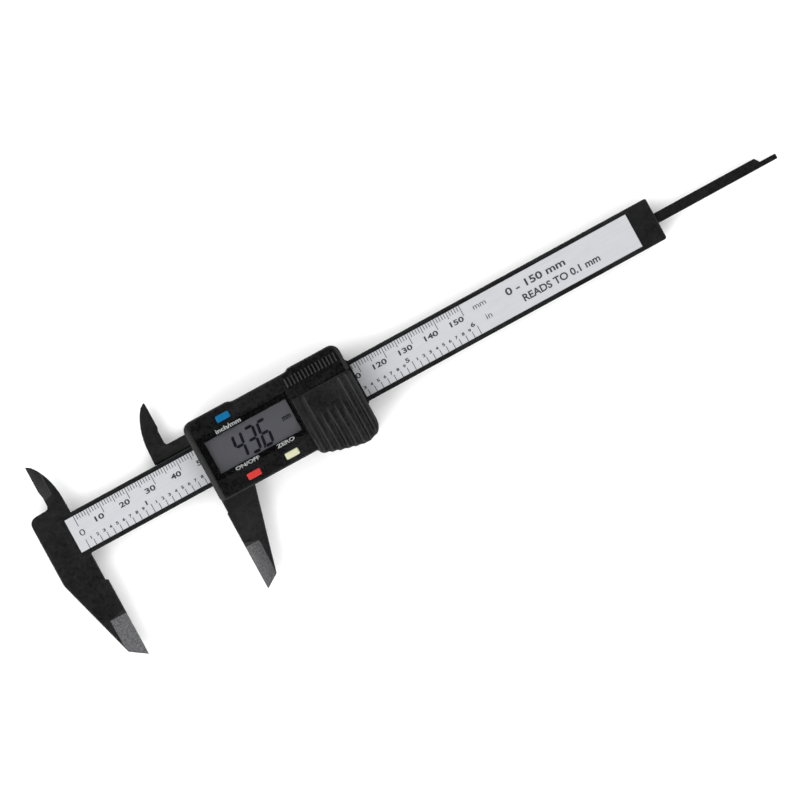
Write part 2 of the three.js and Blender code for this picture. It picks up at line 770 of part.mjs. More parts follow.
place(sliderGroup, 'display_window', windowSlab, windowMaterial);
for (const button of buttons) {
  place(sliderGroup, button.name, makeButton(button), paint(button.colour, 0.45));
}
place(sliderGroup, 'button_cell', makeCell(), paint(0xc4c6ca, 0.25, 1));
place(sliderGroup, 'battery_contact_positive', makePositiveContact(), paint(0xc9b37a, 0.3, 1));
place(sliderGroup, 'battery_contact_negative', makeNegativeContact(), paint(0xc9b37a, 0.3, 1));
place(sliderGroup, 'battery_cover', makeBatteryCover(), paint(blackPlastic, 0.65));

// The origin is the centre of the underside of the caliper's bounding box.
const lengthMiddle = (beamLeft + rodTip + opening) / 2;
const widthMiddle = (jawTip + insideTip) / 2;
caliper.position.set(-lengthMiddle, -widthMiddle, 0);

const part = new THREE.Group();
part.add(caliper);
export default part;
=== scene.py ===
import math

import bmesh
import bpy
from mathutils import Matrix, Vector
from mathutils.geometry import delaunay_2d_cdt


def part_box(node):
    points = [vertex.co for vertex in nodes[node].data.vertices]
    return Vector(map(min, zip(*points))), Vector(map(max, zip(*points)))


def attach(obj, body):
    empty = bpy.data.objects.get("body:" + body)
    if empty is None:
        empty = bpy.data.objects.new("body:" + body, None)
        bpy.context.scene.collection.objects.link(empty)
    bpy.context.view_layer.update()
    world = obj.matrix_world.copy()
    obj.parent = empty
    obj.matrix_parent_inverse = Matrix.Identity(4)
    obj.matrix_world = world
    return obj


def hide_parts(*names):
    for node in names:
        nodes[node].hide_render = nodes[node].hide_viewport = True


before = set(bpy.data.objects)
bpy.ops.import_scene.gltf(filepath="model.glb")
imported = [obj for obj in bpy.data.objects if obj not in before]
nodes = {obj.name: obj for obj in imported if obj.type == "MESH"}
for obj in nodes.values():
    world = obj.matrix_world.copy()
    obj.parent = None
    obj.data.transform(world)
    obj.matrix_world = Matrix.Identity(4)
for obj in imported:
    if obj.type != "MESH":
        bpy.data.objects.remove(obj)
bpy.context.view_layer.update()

mm = 0.001

label_low, label_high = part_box("scale_label")
housing_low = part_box("front_housing")[0]
cover_low, cover_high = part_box("battery_cover")
lcd_low, lcd_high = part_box("lcd_glass")
mask_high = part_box("window_mask")[1]

label_past_zero = 3.6 * mm  # the label's left end lies this far left of the zero point
housing_setback = 0.3 * mm  # the housing's left end lies this far right of the moving jaw's face
print_offset = 0.25 * mm  # the printed scale starts this far left of the zero point
zero = Vector((label_low.x + label_past_zero, (label_low.y + label_high.y) / 2, 0))
slider_zero = Vector((housing_low.x - housing_setback, zero.y, 0))
scale_start = zero.x - print_offset


# ---------------------------------------------------------------- materials

def new_material(name):
    """A material with its node tree and the tree's Principled shader."""
    material = bpy.data.materials.new(name)
    material.use_nodes = True
    tree = material.node_tree
    shader = tree.nodes["Principled BSDF"]
    return material, tree, shader


def object_noise(tree, scale, detail=4.0, stretch=(1, 1, 1)):
    """Noise in the object's own space; scale is in features per metre."""
    place = tree.nodes.new("ShaderNodeTexCoord")
    mapping = tree.nodes.new("ShaderNodeMapping")
    mapping.inputs["Scale"].default_value = stretch
    noise = tree.nodes.new("ShaderNodeTexNoise")
    noise.inputs["Scale"].default_value = scale
    noise.inputs["Detail"].default_value = detail
    tree.links.new(place.outputs["Object"], mapping.inputs["Vector"])
    tree.links.new(mapping.outputs["Vector"], noise.inputs["Vector"])
    return noise.outputs["Fac"]


def ramp(tree, value, stops):
    """A colour ramp over value; stops are (position, rgb)."""
    node = tree.nodes.new("ShaderNodeValToRGB")
    elements = node.color_ramp.elements
    while len(elements) < len(stops):
        elements.new(0.5)
    for element, (position, rgb) in zip(elements, stops):
        element.position = position
        element.color = (*rgb, 1)
    tree.links.new(value, node.inputs["Fac"])
    return node.outputs["Color"]


def span(tree, noise, low, high):
    """A noise, which stays mostly between 0.3 and 0.7, stretched to run from low to high."""
    node = tree.nodes.new("ShaderNodeMapRange")
    node.inputs["From Min"].default_value = 0.3
    node.inputs["From Max"].default_value = 0.7
    node.inputs["To Min"].default_value = low
    node.inputs["To Max"].default_value = high
    tree.links.new(noise, node.inputs["Value"])
    return node.outputs["Result"]


def add_bump(tree, shader, height, strength, depth):
    node = tree.nodes.new("ShaderNodeBump")
    node.inputs["Strength"].default_value = strength
    node.inputs["Distance"].default_value = depth
    tree.links.new(height, node.inputs["Height"])
    tree.links.new(node.outputs["Normal"], shader.inputs["Normal"])


def tinted(rgb, factor):
    return tuple(min(1.0, channel * factor) for channel in rgb)


def math_node(tree, operation, *values):
    """A maths node; each value is a number or another node's output."""
    node = tree.nodes.new("ShaderNodeMath")
    node.operation = operation
    for socket, value in zip(node.inputs, values):
        if isinstance(value, (int, float)):
            socket.default_value = value
        else:
            tree.links.new(value, socket)
    return node.outputs[0]


def mottled(tree, rgb, low, high):
    """The colour, varied from low to high times itself in fine specks and broad clouds."""
    specks = object_noise(tree, 1500, 5)
    clouds = object_noise(tree, 110, 2)
    broad = math_node(tree, "MULTIPLY", clouds, 0.4)
    blend = math_node(tree, "MULTIPLY_ADD", specks, 0.6, broad)
    stops = [(0.38, tinted(rgb, low)), (0.62, tinted(rgb, high))]
    return ramp(tree, blend, stops)


def uneven_gloss(tree, roughness, spread):
    """Roughness that varies by spread, in broad clouds and in small spots."""
    glossiest = roughness - 0.9 * spread
    dullest = roughness - 0.4 * spread
    clouds = span(tree, object_noise(tree, 120, 3), glossiest, dullest)
    spots = span(tree, object_noise(tree, 900, 3), 0, 1.3 * spread)
    return math_node(tree, "ADD", clouds, spots)


def moulded(name, rgb, roughness, grain=2200, depth=0.03 * mm, mottle=0.8, specular=0.5):
    """Moulded plastic: fine spark-eroded grain, slight mottling and uneven gloss."""
    material, tree, shader = new_material(name)
    tree.links.new(mottled(tree, rgb, 1 - mottle, 1 + mottle), shader.inputs["Base Color"])
    tree.links.new(uneven_gloss(tree, roughness, 0.2 * mottle), shader.inputs["Roughness"])
    shader.inputs["Specular IOR Level"].default_value = specular
    add_bump(tree, shader, object_noise(tree, grain, 2), 0.6, depth)
    return material


def metal(name, rgb, roughness, stretch=(1, 1, 1)):
    """Rolled or plated metal with faint streaks."""
    material, tree, shader = new_material(name)
    streaks = object_noise(tree, 700, 5, stretch)
    stops = [(0.35, tinted(rgb, 0.85)), (0.65, tinted(rgb, 1.08))]
    tree.links.new(ramp(tree, streaks, stops), shader.inputs["Base Color"])
    gloss = span(tree, streaks, roughness - 0.06, roughness + 0.1)
    tree.links.new(gloss, shader.inputs["Roughness"])
    shader.inputs["Metallic"].default_value = 1
    add_bump(tree, shader, streaks, 0.15, 0.02 * mm)
    return material


def printed(name, rgb, roughness=0.55):
    """Printing ink, a little uneven in cover."""
    material, tree, shader = new_material(name)
    cover = object_noise(tree, 3000, 3)
    stops = [(0.3, tinted(rgb, 0.85)), (0.7, tinted(rgb, 1.15))]
    tree.links.new(ramp(tree, cover, stops), shader.inputs["Base Color"])
    shader.inputs["Roughness"].default_value = roughness
    shader.inputs["Specular IOR Level"].default_value = 0.1
    return material


def ground_plastic(name, rgb, ground_rgb):
    """The jaws' plastic: black, and matt grey on the flats ground on the outside jaws' tips.

    The moving jaw's flats, which face the fixed jaw, carry painted shade: their grey is darkened
    because of the way they face.
    """
    flat_tilt, tilt_range = 0.24, 0.06  # how far a ground flat's normal leans sideways
    flats_start = zero.y - 30 * mm
    moving_painted_shade = 0.55
    material, tree, shader = new_material(name)
    links = tree.links
    black = mottled(tree, rgb, 0.2, 1.8)
    speckle = object_noise(tree, 1700, 5)
    grey = ramp(tree, speckle, [(0.35, tinted(ground_rgb, 0.6)), (0.65, tinted(ground_rgb, 1.35))])
    geometry = tree.nodes.new("ShaderNodeNewGeometry")
    facing = tree.nodes.new("ShaderNodeSeparateXYZ")
    links.new(geometry.outputs["True Normal"], facing.inputs["Vector"])
    place = tree.nodes.new("ShaderNodeTexCoord")
    spot = tree.nodes.new("ShaderNodeSeparateXYZ")
    links.new(place.outputs["Object"], spot.inputs["Vector"])
    sideways = math_node(tree, "ABSOLUTE", facing.outputs["X"])
    tilted = math_node(tree, "COMPARE", sideways, flat_tilt, tilt_range)
    lengthways = math_node(tree, "ABSOLUTE", facing.outputs["Y"])
    level = math_node(tree, "LESS_THAN", lengthways, 0.05)
    near_tip = math_node(tree, "LESS_THAN", spot.outputs["Y"], flats_start)
    ground = math_node(tree, "MULTIPLY", math_node(tree, "MULTIPLY", tilted, level), near_tip)
    # painted shade: the flats whose normals lean towards -x, the moving jaw's, get a darker grey
    moving = math_node(tree, "LESS_THAN", facing.outputs["X"], 0)
    shade = math_node(tree, "MULTIPLY_ADD", moving, moving_painted_shade - 1, 1)
    ground = math_node(tree, "MULTIPLY", ground, shade)
    mix = tree.nodes.new("ShaderNodeMix")
    mix.data_type = "RGBA"
    colours = {socket.identifier: socket for socket in mix.inputs}
    mixed = {socket.identifier: socket for socket in mix.outputs}
    links.new(ground, colours["Factor_Float"])
    links.new(black, colours["A_Color"])
    links.new(grey, colours["B_Color"])
    links.new(mixed["Result_Color"], shader.inputs["Base Color"])
    links.new(uneven_gloss(tree, 0.42, 0.14), shader.inputs["Roughness"])
    shader.inputs["Specular IOR Level"].default_value = 0.24
    add_bump(tree, shader, object_noise(tree, 2200, 2), 0.6, 0.03 * mm)
    return material


def label_foil():
    """Satin silver foil, faintly brushed along the beam."""
    material, tree, shader = new_material("label_foil")
    streaks = object_noise(tree, 1500, 4, (0.05, 1, 1))
    stops = [(0.3, (0.436, 0.441, 0.462)), (0.7, (0.463, 0.468, 0.49))]
    tree.links.new(ramp(tree, streaks, stops), shader.inputs["Base Color"])
    shader.inputs["Metallic"].default_value = 0.1
    tree.links.new(span(tree, object_noise(tree, 400, 3), 0.38, 0.5), shader.inputs["Roughness"])
    add_bump(tree, shader, streaks, 0.1, 0.01 * mm)
    return material


def clear_plate():
    """The polished acrylic window."""
    material, tree, shader = new_material("clear_window")
    shader.inputs["Base Color"].default_value = (0.97, 0.98, 0.98, 1)
    shader.inputs["Transmission Weight"].default_value = 1
    shader.inputs["IOR"].default_value = 1.45
    shader.inputs["Specular IOR Level"].default_value = 0.25
    wear = object_noise(tree, 200, 3)
    tree.links.new(span(tree, wear, 0.0, 0.03), shader.inputs["Roughness"])
    return material


def lcd_panel():
    """The liquid crystal panel's grey reflective face, with painted shadow darkening it towards
    its left end.
    """
    material, tree, shader = new_material("lcd_panel")
    place = tree.nodes.new("ShaderNodeTexCoord")
    parts = tree.nodes.new("ShaderNodeSeparateXYZ")
    tree.links.new(place.outputs["Object"], parts.inputs["Vector"])
    # painted shadow: the colour darkens over the first 3 mm from the panel's left end, where the
    # window's edge shades it
    along = tree.nodes.new("ShaderNodeMapRange")
    along.inputs["From Min"].default_value = lcd_low.x + 1.3 * mm
    along.inputs["From Max"].default_value = lcd_low.x + 3.0 * mm
    tree.links.new(parts.outputs["X"], along.inputs["Value"])
    stops = [(0.0, (0.08, 0.08, 0.09)), (1.0, (0.109, 0.107, 0.122))]
    tree.links.new(ramp(tree, along.outputs["Result"], stops), shader.inputs["Base Color"])
    tree.links.new(span(tree, object_noise(tree, 500, 3), 0.4, 0.5), shader.inputs["Roughness"])
    return material


def circuit_board():
    """Green solder mask over a faint pattern of tracks."""
    material, tree, shader = new_material("circuit_board")
    place = tree.nodes.new("ShaderNodeTexCoord")
    tracks = tree.nodes.new("ShaderNodeTexBrick")
    tracks.inputs["Scale"].default_value = 420
    tracks.inputs["Color1"].default_value = (0.02, 0.12, 0.06, 1)
    tracks.inputs["Color2"].default_value = (0.025, 0.15, 0.07, 1)
    tracks.inputs["Mortar"].default_value = (0.05, 0.22, 0.1, 1)
    tree.links.new(place.outputs["Object"], tracks.inputs["Vector"])
    tree.links.new(tracks.outputs["Color"], shader.inputs["Base Color"])
    tree.links.new(span(tree, object_noise(tree, 300), 0.3, 0.45), shader.inputs["Roughness"])
    return material


def layered_rubber():
    """Fine dark and pale layers across the strip."""
    material, tree, shader = new_material("layered_rubber")
    place = tree.nodes.new("ShaderNodeTexCoord")
    layers = tree.nodes.new("ShaderNodeTexWave")
    layers.inputs["Scale"].default_value = 900
    tree.links.new(place.outputs["Object"], layers.inputs["Vector"])
    stops = [(0.4, (0.03, 0.03, 0.03)), (0.6, (0.5, 0.42, 0.38))]
    tree.links.new(ramp(tree, layers.outputs["Fac"], stops), shader.inputs["Base Color"])
    shader.inputs["Roughness"].default_value = 0.7
    return material


black_rgb = (0.0034, 0.0034, 0.0037)
ground_rgb = (0.09, 0.09, 0.094)
housing_black = moulded("housing_black", black_rgb, 0.31, specular=0.22)
cover_black = moulded("cover_black", tinted(black_rgb, 1.5), 0.42, specular=0.22)
jaw_black = ground_plastic("jaw_black", black_rgb, ground_rgb)
rod_black = moulded("rod_black", black_rgb, 0.38, depth=0.02 * mm, specular=0.2)
foil = label_foil()
ink = printed("scale_ink", (0.045, 0.045, 0.05))
legend_white = printed("legend_white", (0.6, 0.6, 0.6))
mask_black = moulded("mask_black", (0.002, 0.002, 0.002), 0.2, depth=0.002 * mm, specular=0.1)
segment_dark = printed("segment_dark", (0.006, 0.005, 0.012), 0.4)
steel = metal("plated_steel", (0.34, 0.345, 0.36), 0.34)
bronze = metal("spring_bronze", (0.6, 0.38, 0.18), 0.3, (0.1, 1, 1))
cell_can = metal("cell_can", (0.33, 0.335, 0.35), 0.34)
contact_gold = metal("contact_gold", (0.75, 0.6, 0.33), 0.28)

looks = {
    "beam": jaw_black,
    "slider_frame": jaw_black,
    "front_housing": housing_black,
    "rear_cover": housing_black,
    "battery_cover": cover_black,
    "depth_rod": rod_black,
    "scale_label": foil,
    "scale_board": circuit_board(),
    "end_stop": steel,
    "gib_spring": bronze,
    "controller_chip": moulded("chip_black", (0.012, 0.012, 0.012), 0.4),
    "clock_crystal": steel,
    "lcd_holder": moulded("holder_white", (0.6, 0.6, 0.57), 0.5),
    "lcd_glass": lcd_panel(),
    "window_mask": mask_black,
    "display_window": clear_plate(),
    "unit_button": moulded("button_blue", (0.001, 0.1, 0.232), 0.32, mottle=0.08, specular=0.2),
    "power_button": moulded("button_red", (0.44, 0.031, 0.027), 0.32, mottle=0.08, specular=0.2),
    "zero_button": moulded("button_cream", (0.46, 0.46, 0.31), 0.32, mottle=0.05, specular=0.2),
    "button_cell": cell_can,
    "battery_contact_positive": contact_gold,
    "battery_contact_negative": contact_gold,
}
looks["main_board"] = looks["scale_board"]
rubber = layered_rubber()


def look_of(name):
    if name.startswith("zebra_strip"):
        return rubber
    return looks.get(name, steel)


# ---------------------------------------------------------------- CAD nodes: finish and edges

def smooth_by_angle(angle):
    """A modifier group: faces shade smooth, and edges sharper than angle stay sharp."""
    group = bpy.data.node_groups.new("smooth_by_angle", "GeometryNodeTree")
    group.interface.new_socket("Geometry", in_out="INPUT", socket_type="NodeSocketGeometry")
    group.interface.new_socket("Geometry", in_out="OUTPUT", socket_type="NodeSocketGeometry")
    start = group.nodes.new("NodeGroupInput")
    end = group.nodes.new("NodeGroupOutput")
    faces = group.nodes.new("GeometryNodeSetShadeSmooth")
    edges = group.nodes.new("GeometryNodeSetShadeSmooth")
    edges.domain = "EDGE"
    edges.inputs["Shade Smooth"].default_value = False
    measure = group.nodes.new("GeometryNodeInputMeshEdgeAngle")
    sharper = group.nodes.new("FunctionNodeCompare")
    sharper.data_type = "FLOAT"
    sharper.operation = "GREATER_THAN"
    sharper.inputs["B"].default_value = angle
    group.links.new(start.outputs["Geometry"], faces.inputs["Geometry"])
    group.links.new(faces.outputs["Geometry"], edges.inputs["Geometry"])
    group.links.new(measure.outputs["Unsigned Angle"], sharper.inputs["A"])
    group.links.new(sharper.outputs["Result"], edges.inputs["Selection"])
    group.links.new(edges.outputs["Geometry"], end.inputs["Geometry"])
    return group


smoothing = smooth_by_angle(math.radians(35))


def finish_edges(piece, edge):
    """Rounds a hard-surface piece's edges by edge and shades it smooth between them."""
    weld = piece.modifiers.new("weld", "WELD")
    weld.merge_threshold = 0.001 * mm
    if edge > 0:
        plane = piece.modifiers.new("merge_flats", "DECIMATE")
        plane.decimate_type = "DISSOLVE"
        plane.angle_limit = math.radians(1.5)
        bevel = piece.modifiers.new("rounded_edges", "BEVEL")
        bevel.width = edge
        bevel.segments = 3
        bevel.limit_method = "ANGLE"
        bevel.angle_limit = math.radians(28)
        bevel.use_clamp_overlap = True
    shade = piece.modifiers.new("smooth", "NODES")
    shade.node_group = smoothing


edge_sizes = {
    "beam": 0.14 * mm,
    "slider_frame": 0.14 * mm,
    "front_housing": 0.16 * mm,
    "rear_cover": 0.1 * mm,
    "depth_rod": 0.1 * mm,
    "unit_button": 0.12 * mm,
    "power_button": 0.12 * mm,
    "zero_button": 0.12 * mm,
    "lcd_holder": 0.08 * mm,
    "controller_chip": 0.1 * mm,
    "clock_crystal": 0.3 * mm,
    "end_stop": 0.05 * mm,
}

for name, node in nodes.items():
    node.data.materials.clear()
    node.data.materials.append(look_of(name))
    finish_edges(node, edge_sizes.get(name, 0))


# ---------------------------------------------------------------- pieces made here

def add_piece(name, mesh, body, material):
    """Links a mesh as a piece that rides on a CAD body."""
    piece = bpy.data.objects.new(name, mesh)
    bpy.context.scene.collection.objects.link(piece)
    mesh.materials.clear()
    mesh.materials.append(material)
    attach(piece, body)
    return piece


def add_prism(bm, outline, low, high):
    """Adds an outline, a list of (x, y) in metres, raised from low to high."""
    under = [bm.verts.new((x, y, low)) for x, y in outline]
    over = [bm.verts.new((x, y, high)) for x, y in outline]
    bm.faces.new(over)
    bm.faces.new(list(reversed(under)))
    count = len(outline)
    for i in range(count):
        j = (i + 1) % count
        bm.faces.new((under[i], under[j], over[j], over[i]))


def mesh_of(bm, name):
    bmesh.ops.recalc_face_normals(bm, faces=bm.faces)
    mesh = bpy.data.meshes.new(name)
    bm.to_mesh(mesh)
    bm.free()
    return mesh


def rectangle(left, right, low, high):
    return [(left, low), (right, low), (right, high), (left, high)]


print_thickness = 0.02 * mm
print_low = label_high.z - 0.005 * mm
print_high = label_high.z + print_thickness
scale_millimetres = 150
scale_inches = 6
tenth_inch = 2.54 * mm


def add_ticks():
    """Millimetre ticks hang from the label's top edge; tenths of an inch stand on its foot."""
    bm = bmesh.new()
    half = 0.12 * mm
    margin = 0.05 * mm
    top = label_high.y - margin
    foot = label_low.y + margin
    for step in range(scale_millimetres + 1):
        x = scale_start + step * mm
        length = 3.9 if step % 10 == 0 else 2.5 if step % 5 == 0 else 1.75
        tick = rectangle(x - half, x + half, top - length * mm, top)
        add_prism(bm, tick, print_low, print_high)
    for step in range(10 * scale_inches + 1):
        x = scale_start + step * tenth_inch
        length = 3.2 if step % 10 == 0 else 2.15
        tick = rectangle(x - half, x + half, foot, foot + length * mm)
        add_prism(bm, tick, print_low, print_high)
    add_piece("scale_ticks", mesh_of(bm, "scale_ticks"), "beam_body", ink)


def text_mesh(text, weight):
    """The text as a mesh of the built-in typeface, at size 1, made bolder by weight."""
    curve = bpy.data.curves.new("text", "FONT")
    curve.body = text
    curve.offset = weight
    curve.extrude = 0.01
    curve.resolution_u = 4
    holder = bpy.data.objects.new("text", curve)
    bpy.context.scene.collection.objects.link(holder)
    depsgraph = bpy.context.evaluated_depsgraph_get()
    mesh = bpy.data.meshes.new_from_object(holder.evaluated_get(depsgraph))
    bpy.data.objects.remove(holder)
    bpy.data.curves.remove(curve)
    return mesh


def add_lettering(name, entries, low, high, body, material, slant=0.0):
    """One piece of lettering. Each entry is (text, left, right, foot, top, weight) in metres."""
    bm = bmesh.new()
    for text, left, right, foot, top, weight in entries:
        mesh = text_mesh(text, weight)
        xs = [v.co.x for v in mesh.vertices]
        ys = [v.co.y for v in mesh.vertices]
        across = (right - left) / (max(xs) - min(xs))
        upward = (top - foot) / (max(ys) - min(ys))
        for v in mesh.vertices:
            x = left + (v.co.x - min(xs)) * across
            y = foot + (v.co.y - min(ys)) * upward
            v.co = (x + (y - foot) * slant, y, high if v.co.z > 0 else low)
        bm.from_mesh(mesh)
        bpy.data.meshes.remove(mesh)
    mesh = bpy.data.meshes.new(name)
    bm.to_mesh(mesh)
    bm.free()
    return add_piece(name, mesh, body, material)


def placed(origin, text, left, right, foot, top, weight):
    """An entry for add_lettering whose limits are in millimetres from an origin."""
    return (
        text,
        origin.x + left * mm,
        origin.x + right * mm,
        origin.y + foot * mm,
        origin.y + top * mm,
        weight,
    )


def add_scale_numbers():
    digit = 1.75 * mm
    gap_to_tick = 0.5 * mm
    entries = [placed(zero, "0", -1.1, 0.9, -1.3, 0.9, 0.0)]
    foot = zero.y + 0.65 * mm
    top = foot + 1.9 * mm
    for value in range(10, scale_millimetres + 1, 10):
        width = digit * len(str(value)) + 0.35 * mm
        if str(value)[0] == "1":
            width -= 0.45 * mm
        right = scale_start + value * mm - gap_to_tick
        entries.append((str(value), right - width, right, foot, top, 0.03))
    foot = zero.y - 3.65 * mm
    top = foot + 1.1 * mm
    for step in range(1, 10 * scale_inches):
        tenth = step % 10
        if tenth:
            middle = scale_start + step * tenth_inch - gap_to_tick
            half = 0.17 * mm if tenth == 1 else 0.5 * mm
            entries.append((str(tenth), middle - half, middle + half, foot, top, 0.035))
    foot = zero.y - 2.65 * mm
    top = foot + 1.55 * mm
    for inch in range(1, scale_inches + 1):
        middle = scale_start + 10 * inch * tenth_inch - 1.2 * mm
        half = 0.28 * mm if inch == 1 else 0.75 * mm
        entries.append((str(inch), middle - half, middle + half, foot, top, 0.03))
    add_lettering("scale_numbers", entries, print_low, print_high, "beam_body", ink)


def add_scale_words():
    entries = [
        placed(zero, "mm", 153.8, 158.6, 2.3, 3.6, 0.0),
        placed(zero, "in", 156.3, 158.4, -2.7, -0.8, 0.0),
        placed(zero, "0 - 150 mm", 166.0, 188.8, 0.9, 3.55, 0.025),
        placed(zero, "READS TO 0.1 mm", 170.5, 200.0, -3.6, -0.95, 0.025),
    ]
    add_lettering("scale_words", entries, print_low, print_high, "beam_body", ink)


def add_legends():
    """The legends beside the buttons, on the black window border under the clear plate."""
    entries = [
        placed(slider_zero, "inch/mm", 9.9, 19.5, 7.1, 8.7, 0.03),
        placed(slider_zero, "ON/OFF", 9.9, 19.1, -7.1, -5.85, 0.03),
        placed(slider_zero, "ZERO", 25.8, 32.7, -7.1, -5.85, 0.03),
    ]
    low = mask_high.z + 0.003 * mm
    high = mask_high.z + 0.02 * mm
    add_lettering("legends", entries, low, high, "slider", legend_white)


# The seven segments, as (horizontal?, x, y) in cell units: x from 0 to 1, y from -1 to 1.
segments = {
    "top": (True, 0.5, 1),
    "middle": (True, 0.5, 0),
    "bottom": (True, 0.5, -1),
    "upper_left": (False, 0, 0.5),
    "upper_right": (False, 1, 0.5),
    "lower_left": (False, 0, -0.5),
    "lower_right": (False, 1, -0.5),
}
digit_segments = {
    "3": ("top", "middle", "bottom", "upper_right", "lower_right"),
    "4": ("middle", "upper_left", "upper_right", "lower_right"),
    "6": ("top", "middle", "bottom", "upper_left", "lower_left", "lower_right"),
}


def add_readout():
    """The figures on the display: slanted seven-segment digits with pointed segment ends."""
    bm = bmesh.new()
    width = 3.0 * mm
    half_height = 4.3 * mm
    half_stroke = 0.5 * mm
    gap = 0.1 * mm
    first_digit = slider_zero.x + 13.6 * mm
    digit_pitch = 4.82 * mm
    slant = math.tan(math.radians(7))
    middle_y = slider_zero.y - 0.15 * mm
    low = lcd_high.z + 0.003 * mm
    high = lcd_high.z + 0.02 * mm

    def lean(points):
        return [(x + (y - middle_y) * slant, y) for x, y in points]

    for position, digit in enumerate("436"):
        left = first_digit + position * digit_pitch
        for name in digit_segments[digit]:
            level, along, up = segments[name]
            x = left + along * width
            y = middle_y + up * half_height
            reach = (width if level else half_height) / 2 - gap
            tip = reach - half_stroke
            bar = [(-reach, 0), (-tip, -half_stroke), (tip, -half_stroke)]
            bar += [(reach, 0), (tip, half_stroke), (-tip, half_stroke)]
            turned = [(x + a, y + b) if level else (x - b, y + a) for a, b in bar]
            add_prism(bm, lean(turned), low, high)
    point_x = slider_zero.x + 22.35 * mm
    point_y = middle_y - half_height
    dot = 0.3 * mm
    add_prism(bm, rectangle(point_x - dot, point_x + dot, point_y - dot, point_y + dot), low, high)
    add_piece("readout", mesh_of(bm, "readout"), "slider", segment_dark)
    entries = [placed(slider_zero, "mm", 32.0, 35.2, 0.15, 1.6, 0.03)]
    add_lettering("readout_unit", entries, low, high, "slider", segment_dark, 0.1)


# ---------------------------------------------------------------- battery cover and thumb grip

groove_pitch = 2.69 * mm
last_groove = slider_zero.x + 57.8 * mm
treads = (-16.25, -17.1, -17.92, -18.6, -19.28, -19.78)
last_tread = -18.93
tread_fall = 0.15
step_before = 0.75
step_after = 0.15
cover_wall = 1.3 * mm
cover_ceiling = cover_high.z - 1.15 * mm
cover_upper_edge = slider_zero.y + 5.15 * mm


def groove_x(index):
    return last_groove - groove_pitch * (len(treads) - index)


def curved(start, control, end, steps):
    """Points of a quadratic curve from start, without its end."""
    points = []
    for i in range(steps):
        t = i / steps
        points.append(start * (1 - t) ** 2 + control * 2 * t * (1 - t) + end * t * t)
    return points


def straight(start, end, steps):
    return [start.lerp(end, i / steps) for i in range(steps)]


def cover_outline(inset):
    """The cover's outline from above: a stepped edge below, one tread per rib, straight above."""
    left = cover_low.x
    right = cover_high.x - inset
    top = cover_upper_edge - inset
    round_off = 1.6 * mm

    def at(slider_x, slider_y):
        return slider_zero.to_2d() + Vector((slider_x, slider_y)) * mm + Vector((0, inset))

    first = Vector((left, slider_zero.y - 14.85 * mm + inset))
    tread_start = at(39.7, treads[0])
    points = curved(first, at(38.6, treads[0] + 0.2), tread_start, 10)
    for i, (tread, following) in enumerate(zip(treads, treads[1:])):
        step_x = (groove_x(i) - slider_zero.x) / mm
        step_start = at(step_x - step_before, tread - tread_fall)
        step_end = at(step_x + step_after, following)
        points += straight(tread_start, step_start, 7)
        points += straight(step_start, step_end, 4)
        tread_start = step_end
    fifth = at((groove_x(5) - slider_zero.x) / mm + step_after, -19.8)
    last_start = at(57.8 - step_before, last_tread - tread_fall)
    last_end = at(57.8 + step_after, last_tread)
    bend = Vector((slider_zero.x + 59.9 * mm - inset, slider_zero.y - 16.7 * mm + 0.5 * inset))
    side = Vector((right, slider_zero.y - 14.2 * mm))
    points += straight(tread_start, fifth, 4)
    points += straight(fifth, last_start, 7)
    points += straight(last_start, last_end, 4)
    points += curved(last_end, at(59.1, -18.5) - Vector((0.5 * inset, 0)), bend, 10)
    points += curved(bend, Vector((right, slider_zero.y - 15.6 * mm)), side, 10)
    shoulder = Vector((right, top - round_off))
    points += straight(side, shoulder, 60)
    points += curved(shoulder, Vector((right, top)), Vector((right - round_off, top)), 10)
    points += straight(Vector((right - round_off, top)), Vector((left, top)), 70)
    points += straight(Vector((left, top)), first, 60)
    return points


def rounding(distance, radius):
    """How far a surface has dropped at this distance from an edge rounded to radius."""
    inner = 1 - min(1.0, max(0.0, distance / radius))
    return radius * (1 - math.sqrt(max(0.0, 1 - inner * inner)))


def bell(value, width):
    return math.exp(-((value / width) ** 2))


def clamped(value):
    return min(1.0, max(0.0, value))


def rib_relief(offset, sharpness):
    """The drop of a rib's surface at this offset from the groove on its left, in millimetres.

    A narrow slot, a lit flank that rises from it and a back that falls gently to the next slot.
    """
    pitch = groove_pitch / mm
    offset = offset % pitch
    slot = bell(min(offset, pitch - offset), 0.3)
    flank = clamped(1 - offset / 1.15) ** 2 if offset < 1.15 else 0.0
    back = clamped((offset - 1.15) / (pitch - 1.15))
    return (0.42 * slot + 0.26 * flank + 0.1 * back) * sharpness


def cover_top(point, edge_distance):
    """The height of the cover's upper surface, with ribs that fade into a thumb hollow."""
    x, y = point.x, point.y
    slider_x = (x - slider_zero.x) / mm
    slider_y = (y - slider_zero.y) / mm
    hollow_depth, hollow_x, hollow_y = 0.5, 48.6, 1.0
    rib_end = 4.6
    hollow = bell(slider_x - hollow_x, 7.5) * bell(slider_y - hollow_y, 5.5)
    worn = clamped((6.2 - abs(slider_x - hollow_x)) / 2) * 0.6 + 0.4
    sharpness = 1 - worn * clamped((12 + slider_y) / 11)
    sharpness *= clamped((rib_end - slider_y) / 0.8)
    ribbed = clamped((slider_x - 38.9) / 0.4) * clamped((59.3 - slider_x) / 0.3)
    relief = rib_relief((x - last_groove) / mm, sharpness * ribbed)
    left_drop = rounding(x - cover_low.x, 0.3 * mm)
    top_drop = rounding(cover_upper_edge - y, 0.45 * mm)
    right_drop = rounding(cover_high.x - x, 1.3 * mm)
    low_drop = rounding(edge_distance, 0.9 * mm) * clamped((-9 - slider_y) / 4)
    drop = max(left_drop, top_drop, right_drop, low_drop)
    return cover_high.z - 0.1 * mm - drop - (hollow_depth * hollow + relief) * mm


